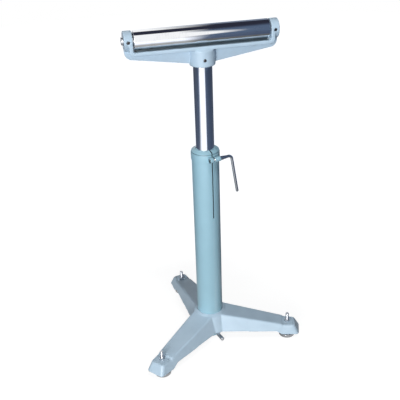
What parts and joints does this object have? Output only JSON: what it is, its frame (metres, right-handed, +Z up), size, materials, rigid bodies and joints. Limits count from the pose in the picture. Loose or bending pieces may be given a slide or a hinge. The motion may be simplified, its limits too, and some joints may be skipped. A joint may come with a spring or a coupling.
{
  "type": "roller_stand",
  "caption": "Free-standing stock support: cast tripod on levelling feet, slit column with a lever clamp, and a sliding, swivelling chromed post with a chromed roller in a cast cradle.",
  "frame": {"origin": "on the floor under the middle of the bounding box; the column axis stands 20.7 mm to -X and 39.2 mm to -Y of it", "axes": "+X along the roller towards the end away from the camera, +Y to the back, +Z up"},
  "size_m": [0.4926, 0.4718, 0.961],
  "materials": {
    "cast_paint": "pale blue-grey enamel on a sand casting, satin",
    "column_paint": "pale teal-grey enamel on steel tube, semi-gloss",
    "chrome": "hard chrome, mirror bright",
    "zinc": "bright zinc plating",
    "black_oxide": "black oxide on alloy steel",
    "bright_steel": "turned bright steel",
    "nylon": "natural nylon, matt"
  },
  "bodies": {
    "stand_base": {"base_casting": "cast_paint", "column_tube": "column_paint", "column_bush": "column_paint", "clamp_band": "column_paint", "clamp_spacer": "column_paint", "column_pin": "zinc", "foot_lock_nut_right": "zinc", "foot_lock_nut_rear": "zinc", "foot_lock_nut_front": "zinc"},
    "clamp_handle": {"clamp_lever": "zinc", "clamp_screw": "zinc"},
    "post_guide": {"post_guide_ring": "nylon"},
    "post_head": {"post_tube": "chrome", "roller_cradle": "cast_paint", "set_screw_post": "black_oxide", "set_screw_axle_left": "black_oxide", "set_screw_axle_right": "black_oxide", "axle": "bright_steel", "axle_spacer_left": "bright_steel", "axle_spacer_right": "bright_steel", "bearing_inner_race_left": "bright_steel", "bearing_inner_race_right": "bright_steel"},
    "roller": {"roller_tube": "chrome", "bearing_outer_race_left": "bright_steel", "bearing_outer_race_right": "bright_steel", "retaining_ring_left": "bright_steel", "retaining_ring_right": "bright_steel"},
    "ball_cage_left": {"bearing_ball_cage_left": "bright_steel"},
    "ball_cage_right": {"bearing_ball_cage_right": "bright_steel"},
    "foot_right": {"foot_disc_right": "bright_steel"},
    "stud_right": {"foot_stud_right": "zinc"},
    "foot_rear": {"foot_disc_rear": "bright_steel"},
    "stud_rear": {"foot_stud_rear": "zinc"},
    "foot_front": {"foot_disc_front": "bright_steel"},
    "stud_front": {"foot_stud_front": "zinc"}
  },
  "joints": [
    {"name": "post_slide", "type": "slide", "parent": "stand_base", "child": "post_guide", "axis": [0, 0, 1], "range_m": [-0.228, 0.16]},
    {"name": "post_swivel", "type": "hinge", "parent": "post_guide", "child": "post_head", "pos_m": [-0.02067, -0.03917, 0.6], "axis": [0, 0, 1], "continuous": true},
    {"name": "roller_spin", "type": "hinge", "parent": "post_head", "child": "roller", "pos_m": [-0.02067, -0.03917, 0.936], "axis": [1, 0, 0], "continuous": true},
    {"name": "ball_cage_left_spin", "type": "hinge", "parent": "post_head", "child": "ball_cage_left", "pos_m": [-0.18667, -0.03917, 0.936], "axis": [1, 0, 0], "continuous": true},
    {"name": "ball_cage_right_spin", "type": "hinge", "parent": "post_head", "child": "ball_cage_right", "pos_m": [0.14533, -0.03917, 0.936], "axis": [1, 0, 0], "continuous": true},
    {"name": "clamp_lever_turn", "type": "hinge", "parent": "stand_base", "child": "clamp_handle", "pos_m": [-0.00769, -0.08445, 0.605], "axis": [0.9613, 0.2756, 0], "range_deg": [0, 120]},
    {"name": "foot_right_lower", "type": "slide", "parent": "stand_base", "child": "foot_right", "axis": [0, 0, -1], "range_m": [0, 0.018]},
    {"name": "foot_right_turn", "type": "hinge", "parent": "foot_right", "child": "stud_right", "pos_m": [0.20333, -0.1196, 0.04], "axis": [0, 0, -1], "range_deg": [0, 4321]},
    {"name": "foot_rear_lower", "type": "slide", "parent": "stand_base", "child": "foot_rear", "axis": [0, 0, -1], "range_m": [0, 0.018]},
    {"name": "foot_rear_turn", "type": "hinge", "parent": "foot_rear", "child": "stud_rear", "pos_m": [-0.06302, 0.19503, 0.04], "axis": [0, 0, -1], "range_deg": [0, 4321]},
    {"name": "foot_front_lower", "type": "slide", "parent": "stand_base", "child": "foot_front", "axis": [0, 0, -1], "range_m": [0, 0.018]},
    {"name": "foot_front_turn", "type": "hinge", "parent": "foot_front", "child": "stud_front", "pos_m": [-0.20232, -0.19295, 0.04], "axis": [0, 0, -1], "range_deg": [0, 4321]}
  ],
  "couplings": [
    {"joint": "ball_cage_left_spin", "follows": "roller_spin", "ratio": 0.59},
    {"joint": "ball_cage_right_spin", "follows": "roller_spin", "ratio": 0.59},
    {"joint": "foot_right_turn", "follows": "foot_right_lower", "rad_per_m": 4188.8},
    {"joint": "foot_rear_turn", "follows": "foot_rear_lower", "rad_per_m": 4188.8},
    {"joint": "foot_front_turn", "follows": "foot_front_lower", "rad_per_m": 4188.8}
  ]
}
